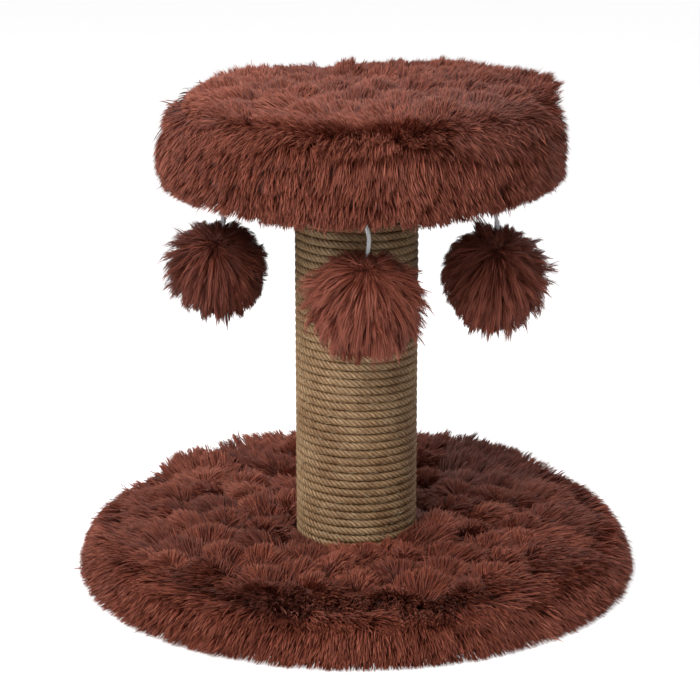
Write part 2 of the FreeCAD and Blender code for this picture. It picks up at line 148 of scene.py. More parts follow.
def on_circle(azimuth, radius, height):
    return np.stack([radius * np.cos(azimuth), radius * np.sin(azimuth),
                     height + np.zeros_like(azimuth)], axis=1)


def circle(segments, radius, height):
    return on_circle(np.linspace(0, 2 * math.pi, segments, endpoint=False), radius, height)


# ---------------------------------------------------------------- mesh pieces

def finish_piece(obj, body, replaced=()):
    bpy.context.scene.collection.objects.link(obj)
    if body:
        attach(obj, body)
    if replaced:
        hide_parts(*replaced)
    return obj


def mesh_object(name, vertices, faces, material):
    """Smooth object from a list of vertices and a list of faces of any size."""
    mesh = bpy.data.meshes.new(name)
    mesh.from_pydata([tuple(v) for v in vertices], [], faces)
    mesh.materials.append(material)
    mesh.polygons.foreach_set("use_smooth", np.ones(len(mesh.polygons), bool))
    mesh.update()
    return bpy.data.objects.new(name, mesh)


def ring_faces(rings, segments, first=0):
    """Faces between rings of vertices, which lie one after the other from the vertex numbered first."""
    faces = []
    for ring in range(rings - 1):
        start = first + ring * segments
        for index in range(segments):
            after = (index + 1) % segments
            faces.append((start + index, start + after, start + segments + after, start + segments + index))
    return faces


def add_maps(mesh, uvs):
    """The map that the materials read, and a copy of it for baking."""
    for layer in ("strand", "OFBake"):
        mesh.uv_layers.new(name=layer).data.foreach_set("uv", uvs)


RING_PLACES = np.array([0.0, 0.45, 0.86, 1.0])   # along a strand
RING_WIDTHS = np.array([0.9, 1.0, 0.78])         # the last place is the tip
ROUNDING = 0.8                                   # how far a strand's edge normals turn out
TONE_STRIP = 0.004


def strand_object(name, material, root, bend, tip, width, facing, tone, twist):
    """Fur as flat tapered strands, each along the curve root-bend-tip, facing outwards."""
    count = len(root)
    rings = len(RING_WIDTHS)
    vertices = np.zeros((count, 2 * rings + 1, 3), np.float32)
    normals = np.zeros_like(vertices)
    uvs = np.zeros((count, 2 * rings + 1, 2), np.float32)
    for ring, place in enumerate(RING_PLACES):
        centre = (1 - place) ** 2 * root + 2 * place * (1 - place) * bend + place ** 2 * tip
        along = unit((1 - place) * (bend - root) + place * (tip - bend))
        side = unit(np.cross(along, facing))
        outward = np.cross(side, along)
        turn = twist[:, None]
        side, outward = (side * np.cos(turn) + outward * np.sin(turn),
                         outward * np.cos(turn) - side * np.sin(turn))
        if ring < rings:
            half = (width * RING_WIDTHS[ring] / 2)[:, None]
            for edge, sign in ((0, -1), (1, 1)):
                index = 2 * ring + edge
                vertices[:, index] = centre + sign * half * side
                normals[:, index] = unit(outward + sign * ROUNDING * side)
                uvs[:, index, 0] = tone + sign * TONE_STRIP
                uvs[:, index, 1] = place
        else:
            vertices[:, -1] = centre
            normals[:, -1] = outward
            uvs[:, -1, 0] = tone
            uvs[:, -1, 1] = place
    per_strand = 2 * rings + 1
    quads = [[first, first + 1, first + 3, first + 2] for first in range(0, 2 * rings - 2, 2)]
    pattern = sum(quads, []) + [2 * rings - 2, 2 * rings - 1, 2 * rings]
    sizes = np.array([4] * len(quads) + [3], np.int32)
    starts = np.cumsum(sizes) - sizes
    base = (np.arange(count) * per_strand)[:, None]
    loops = (base + np.array(pattern)[None]).ravel().astype(np.int32)
    face_starts = ((np.arange(count) * len(pattern))[:, None] + starts[None]).ravel()
    mesh = bpy.data.meshes.new(name)
    mesh.vertices.add(count * per_strand)
    mesh.vertices.foreach_set("co", vertices.ravel())
    mesh.loops.add(len(loops))
    mesh.loops.foreach_set("vertex_index", loops)
    mesh.polygons.add(count * len(sizes))
    mesh.polygons.foreach_set("loop_start", face_starts.astype(np.int32))
    mesh.polygons.foreach_set("loop_total", np.tile(sizes, count))
    mesh.materials.append(material)
    mesh.update(calc_edges=True)
    mesh.polygons.foreach_set("use_smooth", np.ones(len(mesh.polygons), bool))
    add_maps(mesh, uvs.reshape(-1, 2)[loops].ravel())
    mesh.normals_split_custom_set(normals.reshape(-1, 3)[loops])
    return bpy.data.objects.new(name, mesh)


def turned_skin(name, material, outline, segments=128, ripple=0.4 * MM, cell=9 * MM, seed=5):
    """Thin cloth turned about the post's axis from (radius, height) points, slightly rippled."""
    vertices = np.concatenate([circle(segments, radius, height) for radius, height in outline])
    outward = unit(vertices * [1, 1, 0]) + UP
    vertices += ripple * noise(vertices, cell, seed)[:, None] * outward
    return mesh_object(name, vertices, ring_faces(len(outline), segments), material)


# ---------------------------------------------------------------- materials

class Tree:
    """Nodes of a material or of the world, with a short way to lay each kind."""

    def __init__(self, owner):
        owner.use_nodes = True
        self.owner = owner
        self.nodes = owner.node_tree.nodes
        self.link = owner.node_tree.links.new

    def feed(self, node, inputs):
        """Gives inputs of a node their values, or links to the outputs of other nodes."""
        for name, source in inputs.items():
            if isinstance(source, bpy.types.NodeSocket):
                self.link(source, node.inputs[name])
            else:
                node.inputs[name].default_value = source

    def lay(self, kind, inputs, output=0, **settings):
        """New node, of which one output is given back."""
        node = self.nodes.new("ShaderNode" + kind)
        for name, value in settings.items():
            setattr(node, name, value)
        self.feed(node, inputs)
        return node.outputs[output]

    def ramp(self, pattern, stops):
        """Colours for the values of a pattern."""
        colour = self.lay("ValToRGB", {"Fac": pattern}, "Color")
        elements = colour.node.color_ramp.elements
        while len(elements) < len(stops):
            elements.new(0.5)
        for element, (place, shade) in zip(elements, stops):
            element.position = place
            element.color = (*shade, 1.0)
        return colour

    def maths(self, operation, *terms):
        return self.lay("Math", dict(enumerate(terms)), operation=operation)

    def multiply(self, first, second):
        """Product of two colours."""
        return self.lay("Mix", {"Factor": 1.0, 6: first, 7: second}, 2,
                        data_type="RGBA", blend_type="MULTIPLY")

    def object_place(self):
        return self.lay("TexCoord", {}, "Object")

    def strand_place(self):
        """Place on the strands' map, whole and in its parts."""
        whole = self.lay("UVMap", {}, uv_map="strand")
        across = self.lay("SeparateXYZ", {"Vector": whole})
        return whole, across, across.node.outputs["Y"]

    def noise(self, place, scale, detail=4.0, stretch=None):
        if stretch:
            place = self.lay("Mapping", {"Vector": place, "Scale": stretch})
        return self.lay("TexNoise", {"Vector": place, "Scale": scale, "Detail": detail}, "Fac")


class Surface(Tree):
    """New material and the shader that it ends in."""

    def __init__(self, name, roughness):
        super().__init__(bpy.data.materials.new(name))
        self.put("Roughness", roughness)

    def put(self, socket, source):
        self.feed(self.nodes["Principled BSDF"], {socket: source})

    def colour(self, pattern):
        self.put("Base Color", pattern)

    def bump(self, height, distance, strength=0.6):
        self.put("Normal", self.lay("Bump", {"Height": height, "Distance": distance, "Strength": strength}))


def fur_material(name, root, middle, light, tip, roughness=0.55):
    """Pile that is dark at the root and lighter at the tip, with strands of differing tone."""
    fur = Surface(name, roughness)
    _, tone_place, along_place = fur.strand_place()
    along = fur.ramp(along_place, [(0.0, root), (0.38, middle), (0.78, light), (1.0, tip)])
    # The lightest, pinkest end of the tone ramp is partly painted sheen on the lighter tufts and strands.
    tone = fur.ramp(tone_place, [(0.0, (0.52, 0.46, 0.44)), (0.35, (0.84, 0.79, 0.77)),
                                 (0.65, (1.08, 1.06, 1.06)), (1.0, (1.52, 1.76, 1.90))])
    fur.colour(fur.multiply(along, tone))
    fur.put("Specular IOR Level", 0.28)
    return fur.owner


def cloth_material(name, dark, light, thread=0.7 * MM, sheen=0.2):
    """Knitted or felted cloth."""
    cloth = Surface(name, 0.9)
    place = cloth.object_place()
    cloth.colour(cloth.ramp(cloth.noise(place, 60.0, 5.0), [(0.3, dark), (0.7, light)]))
    cloth.put("Sheen Weight", sheen)
    cloth.bump(cloth.noise(place, 1.0 / thread, 3.0), thread / 2)
    return cloth.owner


def grained_material(name, roughness, grain, stops, depth, strength, metallic=0.0):
    """Material that one grain (scale, detail, stretch along X, Y and Z) both colours and roughens."""
    grained = Surface(name, roughness)
    pattern = grained.noise(grained.object_place(), *grain)
    grained.colour(grained.ramp(pattern, stops))
    grained.put("Metallic", metallic)
    grained.bump(pattern, depth, strength)
    return grained.owner


def wood_material(name, dark, light, stretch):
    return grained_material(name, 0.7, (90.0, 6.0, stretch), [(0.32, dark), (0.68, light)], 0.3 * MM, 0.4)


def steel_material(name, colour, roughness):
    scratched = tuple(0.8 * part for part in colour)
    return grained_material(name, roughness, (900.0, 3.0, (1.0, 1.0, 0.15)),
                            [(0.3, scratched), (0.7, colour)], 0.05 * MM, 0.3, 1.0)


def rope_material():
    """Natural rope: fibres run along each strand, with painted shade in the grooves between strands and a
    painted highlight along each strand's crest.
    """
    rope = Surface("jute_rope", 0.6)
    place, _, round_place = rope.strand_place()
    fibres = rope.noise(place, 1.0, 3.0, (60.0, 1300.0, 1.0))
    # Fibres differ in tone at random. Their brightest, whitish specks are painted glints on the strands'
    # crests.
    fibre_tone_and_glint = rope.ramp(fibres, [(0.34, (0.46, 0.40, 0.34)), (0.50, (0.95, 0.93, 0.90)),
                                    (0.66, (1.95, 2.10, 2.30))])
    straw = rope.ramp(rope.noise(rope.object_place(), 45.0, 3.0), [
        (0.34, (0.220, 0.119, 0.052)), (0.52, (0.296, 0.178, 0.086)), (0.70, (0.366, 0.236, 0.122))])
    strands = rope.maths("MULTIPLY", round_place, ROPE_STRIPS * ROPE_STRANDS)
    # Painted shade at each strand's edges, in the grooves, and a painted highlight along its crest.
    edge, flank, crest_highlight = (0.36, 0.30, 0.25), (0.88, 0.85, 0.82), (1.36, 1.40, 1.46)
    strand_shade_and_highlight = rope.ramp(rope.maths("FRACT", strands), [
        (0.0, edge), (0.20, flank), (0.5, crest_highlight), (0.80, flank), (1.0, edge)])
    rope.colour(rope.multiply(rope.multiply(straw, fibre_tone_and_glint), strand_shade_and_highlight))
    rope.put("Specular IOR Level", 0.4)
    rope.bump(fibres, 0.15 * MM, 0.7)
    return rope.owner


def cord_material():
    """White elastic, braided from two sets of threads that cross."""
    cord = Surface("white_elastic", 0.6)
    place = cord.object_place()
    waves = []
    for slant in (0.7, -0.7):
        turned = cord.lay("Mapping", {"Vector": place, "Rotation": (0.0, slant, 0.0)})
        waves.append(cord.lay("TexWave", {"Vector": turned, "Scale": 420.0, "Distortion": 0.6}, "Fac",
                              bands_direction="Z"))
    braid = cord.maths("MULTIPLY", *waves)
    cord.colour(cord.ramp(braid, [(0.0, (0.62, 0.63, 0.66)), (0.5, (0.84, 0.84, 0.86))]))
    cord.bump(braid, 0.2 * MM)
    return cord.owner


PLUSH = fur_material("plush_pile", (0.036, 0.0070, 0.0038), (0.130, 0.027, 0.0136),
                     (0.208, 0.0475, 0.0250), (0.300, 0.085, 0.0505))
POMPOM_PLUSH = fur_material("pompom_pile", (0.075, 0.015, 0.0080), (0.150, 0.031, 0.016),
                            (0.215, 0.050, 0.027), (0.300, 0.085, 0.052))
FUZZ = fur_material("jute_fibre", (0.30, 0.19, 0.10), (0.40, 0.28, 0.16), (0.48, 0.36, 0.22),
                    (0.55, 0.44, 0.30), 0.7)
UNDERCOAT = cloth_material("plush_undercoat", (0.030, 0.0065, 0.0038), (0.105, 0.023, 0.0125), 1.1 * MM,
                           0.0)
BACKING_CLOTH = cloth_material("plush_backing", (0.028, 0.0065, 0.0040), (0.055, 0.013, 0.008))
FELT = cloth_material("lining_felt", (0.018, 0.018, 0.020), (0.045, 0.045, 0.048))
FOAM = cloth_material("foam", (0.62, 0.56, 0.36), (0.74, 0.69, 0.50), 1.2 * MM)
STUFFING = cloth_material("stuffing", (0.66, 0.66, 0.64), (0.80, 0.80, 0.78), 1.0 * MM)
THREAD = cloth_material("tie_thread", (0.020, 0.006, 0.005), (0.060, 0.020, 0.015), 0.4 * MM)
CHIP_BOARD = wood_material("chip_board", (0.24, 0.15, 0.075), (0.50, 0.36, 0.20), (1.0, 1.0, 1.0))
PINE = wood_material("pine", (0.42, 0.27, 0.12), (0.62, 0.45, 0.25), (0.2, 1.6, 1.0))
KRAFT = wood_material("kraft_paper", (0.24, 0.15, 0.08), (0.36, 0.25, 0.14), (0.5, 0.5, 2.5))
STEEL = steel_material("zinc_plated_steel", (0.62, 0.62, 0.64), 0.32)
WIRE = steel_material("galvanised_wire", (0.66, 0.66, 0.68), 0.4)
ROPE = rope_material()
CORD = cord_material()

SLOT_MATERIALS = {
    "lining_felt": FELT, "board_wood": CHIP_BOARD, "plug_wood": PINE, "plush": BACKING_CLOTH,
    "staple_steel": WIRE, "screw_steel": STEEL, "kraft_tube": KRAFT, "jute": ROPE, "foam": FOAM,
    "elastic_cord": CORD, "tie_thread": THREAD, "stuffing": STUFFING, "pompom_fur": BACKING_CLOTH,
}


def dress_frame_nodes():
    for part in frame["record"]["subparts"]:
        obj = NODES[part["node"]]
        obj.data.materials.clear()
        obj.data.materials.append(SLOT_MATERIALS[part["material_slot"]])


# ---------------------------------------------------------------- plush

STRAND_WIDTH = 0.80 * MM
FLOOR_CLEARANCE = 0.6 * MM
POST_CLEARANCE = 1.0 * MM
STRAY_SHARE = 0.03          # of the strands, that stand off their lock
HEM_CROWDING = 1.35         # over 1, more locks stand near the hem of a band

# tufts of the two tops, as in the model
TUFT_SPACING = 31.0 * MM
TUFT_RADIUS = 12.0 * MM
TUFT_RISE = 6.0 * MM
GOLDEN_TURN = math.pi * (3 - math.sqrt(5))
ARCH_OVER_EDGE = 5.5 * MM   # least rise of a lock of the tops before it falls

# how far the tufts' outlines and heights wander, and the size of the patches in which things change
TUFT_WOBBLE = 9.0 * MM
LIFT_WOBBLE = 3.0 * MM
WOBBLE_PATCH = 17.0 * MM
EDGE_PATCH = 42.0 * MM
HEIGHT_PATCH = 13.0 * MM
TONE_PATCH = 22.0 * MM
SIDE_TONE_PATCH = 20.0 * MM
SWAY_PATCHES = (26.0 * MM, 11.0 * MM)
SEAM_PATCH = 55.0 * MM
TOP_TONE = 0.46
SIDE_TONE = 0.48
TONE_JITTER = 0.15          # from strand to strand
TOP_GATHER = 0.28           # of the strands of a lock of the tops


class Locks:
    """Locks of pile, one row each: where they stand, bend and end, and how they face."""

    def __init__(self, root, bend, tip, normal, tone):
        self.root = root
        self.bend = bend
        self.tip = tip
        self.normal = normal
        self.tone = tone


def grow(name, material, locks, per_lock, spread, gather, width, seed, limit=None, ragged=0.05):
    """Strands of a set of locks: spread apart at the roots and gathered at the tips."""
    random = np.random.default_rng(seed)
    which = np.repeat(np.arange(len(locks.root)), per_lock)
    count = len(which)
    axis = unit(locks.tip - locks.root)[which]
    normal = locks.normal[which]
    scatter = random.normal(size=(count, 3)) * 0.5
    at_root = (scatter - (scatter * normal).sum(1, keepdims=True) * normal) * spread
    across = (scatter - (scatter * axis).sum(1, keepdims=True) * axis) * spread
    stray = np.where(random.uniform(size=(count, 1)) < STRAY_SHARE, 5.0, 1.0)
    jitter = random.normal(size=(count, 3)) * spread * 0.12 * stray
    root = locks.root[which] + at_root
    bend = locks.bend[which] + across * (1 - 0.35 * gather)
    tip = locks.tip[which] + across * (1 - gather) + jitter
    tip = bend + (tip - bend) * (1 + ragged * random.normal(size=(count, 1)))
    if limit:
        root, bend, tip = limit(root), limit(bend), limit(tip)
    facing = unit(normal + 0.25 * UP + 0.25 * axis)
    tone = locks.tone[which] + TONE_JITTER * random.normal(size=count) + 0.06 * (stray[:, 0] - 1)
    widths = width * random.uniform(0.6, 1.25, count)
    twist = random.normal(size=count) * 0.5
    return strand_object(name, material, root, bend, tip, widths, facing,
                         np.clip(tone, 0.01, 0.99), twist)


def slope(points, cell, seed):
    """Which way a smooth noise rises in the plane, about 1 long where it is steepest."""
    step = 0.2 * cell
    ways = []
    for axis in (0, 1):
        shift = np.zeros(3)
        shift[axis] = step
        ways.append(noise(points + shift, cell, seed) - noise(points - shift, cell, seed))
    return np.stack([ways[0], ways[1], np.zeros(len(points))], axis=1)


def ease(share):
    share = np.clip(share, 0, 1)
    return share * share * (3 - 2 * share)


def arched(start, end, bulge):
    """Height, by radius, of a line from start to end that is raised by bulge halfway."""
    def height_at(radius):
        share = (radius - start[0]) / (end[0] - start[0])
        return start[1] + share * (end[1] - start[1]) + 4 * bulge * share * (1 - share)
    return height_at


def tuft_middles(inner, outer):
    """Middles of the tufts of a ring, each turned the golden angle on from the last."""
    share = TUFT_SPACING ** 2 * math.sin(math.radians(60)) / math.pi
    order = np.arange(int((outer ** 2 - inner ** 2) / share))
    return on_circle(order * GOLDEN_TURN, np.sqrt(inner ** 2 + (order + 0.5) * share), 0.0)


def tuft_of(flat, middles, uneven):
    """The nearest tuft of each place in the plane, and how far it lifts the pile there."""
    away = np.linalg.norm(flat[:, None, :2] - middles[None, :, :2], axis=2)
    owner = np.argmin(away, axis=1)
    full = np.random.default_rng(uneven).uniform(0.35, 1.15, len(middles))[owner]
    lift = TUFT_RISE * full * np.clip(1 - (away.min(axis=1) / (1.25 * TUFT_RADIUS)) ** 2, 0, 1)
    return owner, lift


def beyond(flat, azimuth, start, over):
    """0 for places short of a line that faces azimuth degrees, rising to 1 once they are over past it."""
    facing = np.array([math.cos(math.radians(azimuth)), math.sin(math.radians(azimuth)), 0.0])
    return ease((flat @ facing - start) / over)


def uneven_radius(flat, look):
    """Distance from the post's axis, made uneven so that the pile's edge wanders in and out."""
    return np.linalg.norm(flat[:, :2], axis=1) + look["wander"] * noise(flat, EDGE_PATCH, look["field"] + 6)


def pile_height(flat, look):
    """Height of the pile's hollows, which doesn't roll over the edge on the side where it stands up."""
    radius = uneven_radius(flat, look)
    standing = beyond(flat, *look["standing"])
    past = np.maximum(radius - look["rolls_from"], 0) * (1 - look["squareness"] * standing)
    height = look["height_at"](np.minimum(radius, look["rolls_from"]) + past)
    for rise, azimuth, start, over in look["rises"]:
        height = height + rise * beyond(flat, azimuth, start, over)
    return height, standing


def tuft_ways(look):
    """Which way each tuft leans, and its tone, which differs at random and is partly painted sheen."""
    own = np.random.default_rng(look["field"])
    middles = look["tufts"]
    ways = look["back"] * np.array([0.0, 1.0, 0.0]) + look["sideways"] * middles * [1, 0, 0] / look["edge"]
    ways = ways + look["fans"] * slope(middles, look["fan_size"], look["field"])
    ways[:, :2] += look["own_way"] * own.normal(size=(len(middles), 2))
    # Each tuft gets a tone of its own at random. Its lighter, pinker tufts are partly painted sheen, where
    # real tufts catch the light.
    return ways, look["own_tone"] * own.normal(size=len(middles))


def rooted(flat, back, look):
    """Roots on the cloth of the locks whose tips are over flat, kept between first_root and last_root."""
    root = flat - back
    out = np.linalg.norm(root[:, :2], axis=1)
    root *= (np.clip(out, look["first_root"], look["last_root"]) / np.maximum(out, 1e-9))[:, None]
    root[:, 2] = skin_height(np.linalg.norm(root[:, :2], axis=1), look)
    return root


def skin_height(radius, look):
    rows = np.array(look["skin"])
    return np.interp(radius, rows[:, 0], rows[:, 1])


def top_locks(count, inner, outer, look, seed):
    """Locks of a round top, whose tips follow its tufts. Each tuft leans its own way and fans out."""
    random = np.random.default_rng(seed)
    radius = np.sqrt(random.uniform(inner ** 2, outer ** 2, count))
    azimuth = random.uniform(0, 2 * math.pi, count)
    flat = on_circle(azimuth, radius, 0.0)
    middles = look["tufts"]
    wobble = np.stack([noise(flat, WOBBLE_PATCH, look["field"] + axis) for axis in (7, 8, 9)], axis=1)
    owner = tuft_of(flat + TUFT_WOBBLE * wobble, middles, look["field"])[0]
    lift = tuft_of(flat + LIFT_WOBBLE * wobble, middles, look["field"])[1]
    ways, tuft_tone_and_sheen = tuft_ways(look)
    off_middle = (flat - middles[owner]) / TUFT_RADIUS
    off_middle /= np.maximum(np.linalg.norm(off_middle, axis=1, keepdims=True), 1)
    turned = ease((uneven_radius(flat, look) - look["turn_from"]) / (look["edge"] - look["turn_from"]))
    turned = turned[:, None] * (1 - 0.5 * beyond(flat, *look["standing"])[:, None])
    lean = ways[owner] + look["fan_out"] * off_middle
    lean = lean * (1 - 0.75 * turned) + look["turn_out"] * turned * on_circle(azimuth, 1.0, 0.0)
    lean[:, :2] += look["loose"] * random.normal(size=(count, 2))
    steep = np.linalg.norm(lean, axis=1)

    hollows, standing = pile_height(flat, look)
    pile = hollows + lift + look["patchy"] * noise(flat, HEIGHT_PATCH, look["field"] + 5)
    length = look["length"] * (1 + 0.06 * random.normal(size=count))
    skin = skin_height(radius, look)
    rise = (pile - skin) * (1 + (0.05 + 0.05 * standing) * random.normal(size=count))
    reach = np.sqrt(np.maximum(length ** 2 - rise ** 2, (0.3 * length) ** 2)) * np.clip(steep, 0.15, 1)
    direction = unit(lean)
    ahead = ((flat - middles[owner]) * direction).sum(axis=1)
    drawn = look["fan_rim"] * np.clip(TUFT_RADIUS - ahead, 0, 2 * TUFT_RADIUS) * (1 - turned[:, 0])
    flat = flat + direction * drawn[:, None]
    tip = flat + UP * (skin + rise)[:, None]
    root = rooted(flat, direction * reach[:, None], look)
    arch = np.maximum(0.80 * (tip - root)[:, 2:], ARCH_OVER_EDGE)
    bend = root + 0.30 * (tip - root) * [1, 1, 0] + UP * arch
    tone = TOP_TONE + tuft_tone_and_sheen[owner] + 0.12 * noise(flat, TONE_PATCH, look["field"] + 3)
    # Painted light and shade: pile lifted high by its tuft is made lighter, pile in the hollows darker.
    tone += 0.10 * random.normal(size=count) + look["crest_tone"] * (lift / TUFT_RISE - 0.5)
    # Painted shade: the pile is made darker towards the right, where the light from the left falls less.
    tone -= look["right_tone"] * flat[:, 0] / look["edge"]
    return Locks(root, bend, tip, np.tile(UP, (count, 1)), tone)


def wall_locks(count, root_outline, tip_outline, lift, sway, seam, seed):
    """Locks on a turned side. Both outlines are (share, radius, height) rows, share 0 at the hem.

    The locks rise by lift halfway and swing sideways by sway, and their upper ends wander by seam.
    """
    random = np.random.default_rng(seed)
    first, last = root_outline[0][0], root_outline[-1][0]
    share = first + (last - first) * random.uniform(0, 1, count) ** HEM_CROWDING
    azimuth = random.uniform(0, 2 * math.pi, count)

    def along(outline, column, at):
        rows = np.array(outline)
        return np.interp(at, rows[:, 0], rows[:, column])

    root = on_circle(azimuth, along(root_outline, 1, share), along(root_outline, 2, share))
    tip_share = share + 0.04 * random.normal(size=count)
    depth = np.clip(1.0 + 0.035 * random.normal(size=count), 0.85, 1.08)
    tip_radius = along(tip_outline, 1, tip_share)
    tip_height = along(tip_outline, 2, tip_share)
    swing = sway * (noise(root, SWAY_PATCHES[0], seed) + 0.5 * noise(root, SWAY_PATCHES[1], seed + 1)
                    + 0.35 * random.normal(size=count))
    tip = on_circle(azimuth + swing / tip_radius, tip_radius, tip_height)
    tip[:, 2] += seam * ease(share) * noise(on_circle(azimuth, 0.1, 0.0), SEAM_PATCH, seed + 2)
    tip = root + (tip - root) * depth[:, None]
    bend = root + (tip - root) * 0.5
    bend += UP * (lift * (1 + 0.3 * random.normal(size=count)))[:, None]
    outward = on_circle(azimuth, 1.0, 0.0)
    tone = SIDE_TONE + 0.16 * noise(root, SIDE_TONE_PATCH, seed + 3) + 0.15 * random.normal(size=count)
    return Locks(root, bend, tip, outward, tone)


def seam_locks(count, root_ring, tip_ring, run, patch, look, seed):
    """Locks over the seam of top and side. Each ring is (radius, height), for the roots and the tips.

    They run to one side or the other by up to run, in patches of the size patch.
    """
    random = np.random.default_rng(seed)
    azimuth = random.uniform(0, 2 * math.pi, count)
    ring = on_circle(azimuth, 0.1, 0.0)
    way = np.clip(2.5 * noise(ring, patch, seed), -1, 1) + 0.25 * random.normal(size=count)
    high = random.normal(size=count)
    root = on_circle(azimuth, root_ring[0], root_ring[1] + 0.5 * MM * high)
    tip_height = tip_ring[1] + 4 * MM * high + 3 * MM * np.abs(way)
    tip_height += look["seam_rise"] * beyond(root, *look["standing"])
    tip = on_circle(azimuth + run * way / tip_ring[0], tip_ring[0] - 1.5 * MM * np.abs(high), tip_height)
    bend = root + (tip - root) * [0.4, 0.4, 0.3] + UP * ARCH_OVER_EDGE
    tone = TOP_TONE + 0.14 * noise(ring, SIDE_TONE_PATCH, seed + 3) + 0.12 * random.normal(size=count)
    return Locks(root, bend, tip, unit(on_circle(azimuth, 1.0, 0.0) + 0.6 * UP), tone)


def undercoat(name, inner, outer, look, depth, seed, rings=34, segments=150):
    """Short dense hair between the locks of a top, as one lumpy sheet below their tips."""
    circles = []
    for radius in np.linspace(inner, outer, rings):
        places = circle(segments, radius, 0.0)
        lift = tuft_of(places, look["tufts"], look["field"])[1]
        places[:, 2] = pile_height(places, look)[0] + lift - depth
        circles.append(places)
    vertices = np.concatenate(circles)
    vertices[:, 2] += 1.2 * MM * noise(vertices, 5 * MM, seed)
    return mesh_object(name, vertices, ring_faces(rings, segments), UNDERCOAT)


def panel_piles(cover, rings, seeds, look):
    """Pile of a top in three rings, each a piece of its own."""
    pieces = []
    for place, inner, outer, seed in zip(("inner", "middle", "outer"), rings, rings[1:], seeds):
        locks = top_locks(look["locks"], inner, outer, look, seed)
        pile = grow("%s_panel_%s_pile" % (cover, place), PLUSH, locks, look["per_lock"], look["spread"],
                    TOP_GATHER, look["width"], seed + 1, look["limit"])
        pieces.append(finish_piece(pile, STAND))
    return pieces


def clear_of_post(points):
    """Moves points out of the post, straight away from its axis, and off the floor."""
    out = np.linalg.norm(points[:, :2], axis=1)
    nearest = ROPE_OUTSIDE + POST_CLEARANCE
    factor = np.where(out < nearest, nearest / np.maximum(out, 1e-9), 1.0)
    moved = points.copy()
    moved[:, :2] *= factor[:, None]
    moved[:, 2] = np.maximum(moved[:, 2], FLOOR_CLEARANCE)
    return moved


PERCH_OVERHANG = 5 * MM     # of the pile's tips past the model's edge
PERCH_COMB = 3.0 * MM
PERCH_SIDES_UP = 5.0 * MM
PERCH_LOW_TIPS = 16.0 * MM  # height of the fringe's part that is lifted at the sides


def combed(points):
    """Brings the perch's tips a little to the right, and lifts the fringe at its left and right."""
    moved = points.copy()
    moved[:, 2] += PERCH_SIDES_UP * ease(np.abs(points[:, 0]) / (90 * MM) - 0.35) * ease(
        (PERCH_FRINGE + PERCH_LOW_TIPS - points[:, 2]) / PERCH_LOW_TIPS)
    moved[:, 0] += PERCH_COMB * ease((points[:, 2] - PERCH_FRINGE) / (8 * MM)) * ease(
        (np.linalg.norm(points[:, :2], axis=1) - 0.9 * PERCH_RADIUS) / (20 * MM))
    return moved


# Each look below says of a top: its tufts, the heights of pile and cloth, the pull of the locks back,
# sideways and in fans, how they turn out at the edge, the side where the pile stands up over the edge
# (azimuth, start, over), its rises (rise, azimuth, start, over), its tones, among them painted light on
# the tufts' crests with painted shade in their hollows, painted shade towards the right and a tone for
# each tuft that is partly painted sheen, and how densely it grows.
BASE_PARTING = radius_of("base_plush_panel")
BASE_AT_POST = POST_RADIUS + 3 * MM
BASE_ROLL = (156 * MM, 24 * MM, 13 * MM)     # where the edge rolls over, over what width, and how far down


def base_hollows(radius):
    """Height of the pile between the tufts, with the edge rolled over."""
    at_post = (BASE_AT_POST, BASE_SKIN + 8.5 * MM)
    parting = (BASE_PARTING, high("base_plush_band"))
    start, width, drop = BASE_ROLL
    rolled = np.maximum(radius - start, 0) / width
    return arched(at_post, parting, 0.8 * MM)(radius) - drop * rolled ** 2


BASE_LOOK = {
    "tufts": tuft_middles(BASE_AT_POST + TUFT_RADIUS, BASE_RADIUS - TUFT_RADIUS),
    "height_at": base_hollows,
    "skin": [(0, BASE_SKIN), (BASE_RADIUS, BASE_SKIN)], "edge": BASE_PARTING,
    "first_root": ROPE_OUTSIDE + POST_CLEARANCE, "last_root": BASE_RADIUS,
    "back": 0.62, "sideways": 0.55, "fans": 1.25, "fan_size": 84 * MM, "own_way": 0.34, "fan_out": 0.55,
    "turn_from": 118 * MM, "turn_out": 1.1, "loose": 0.14, "patchy": 1.5 * MM, "length": 25 * MM,
    "standing": (90, 84 * MM, 50 * MM), "rolls_from": 150 * MM, "squareness": 0.9,
    "rises": [(6.5 * MM, 90, 84 * MM, 60 * MM)], "seam_rise": 5 * MM, "wander": 16 * MM, "fan_rim": 0.45,
    "own_tone": 0.21, "crest_tone": 0.18, "right_tone": 0.0, "field": 11,
    "locks": 2600, "per_lock": 15, "spread": 3.6 * MM, "width": STRAND_WIDTH, "limit": clear_of_post,
}


def perch_hollows(radius):
    """Height of the pile between the tufts, whose tips hang over the model's edge."""
    middle = (0, PERCH_SKIN + 12 * MM)
    roll = (PERCH_RADIUS - 10 * MM, PERCH_SKIN + 11 * MM)
    parting = (radius_of("perch_plush_panel"), PERCH_SKIN - 6.5 * MM)
    inside = radius - PERCH_OVERHANG
    return np.where(inside < roll[0], arched(middle, roll, 0)(inside),
                    arched(roll, parting, 4.5 * MM)(inside))


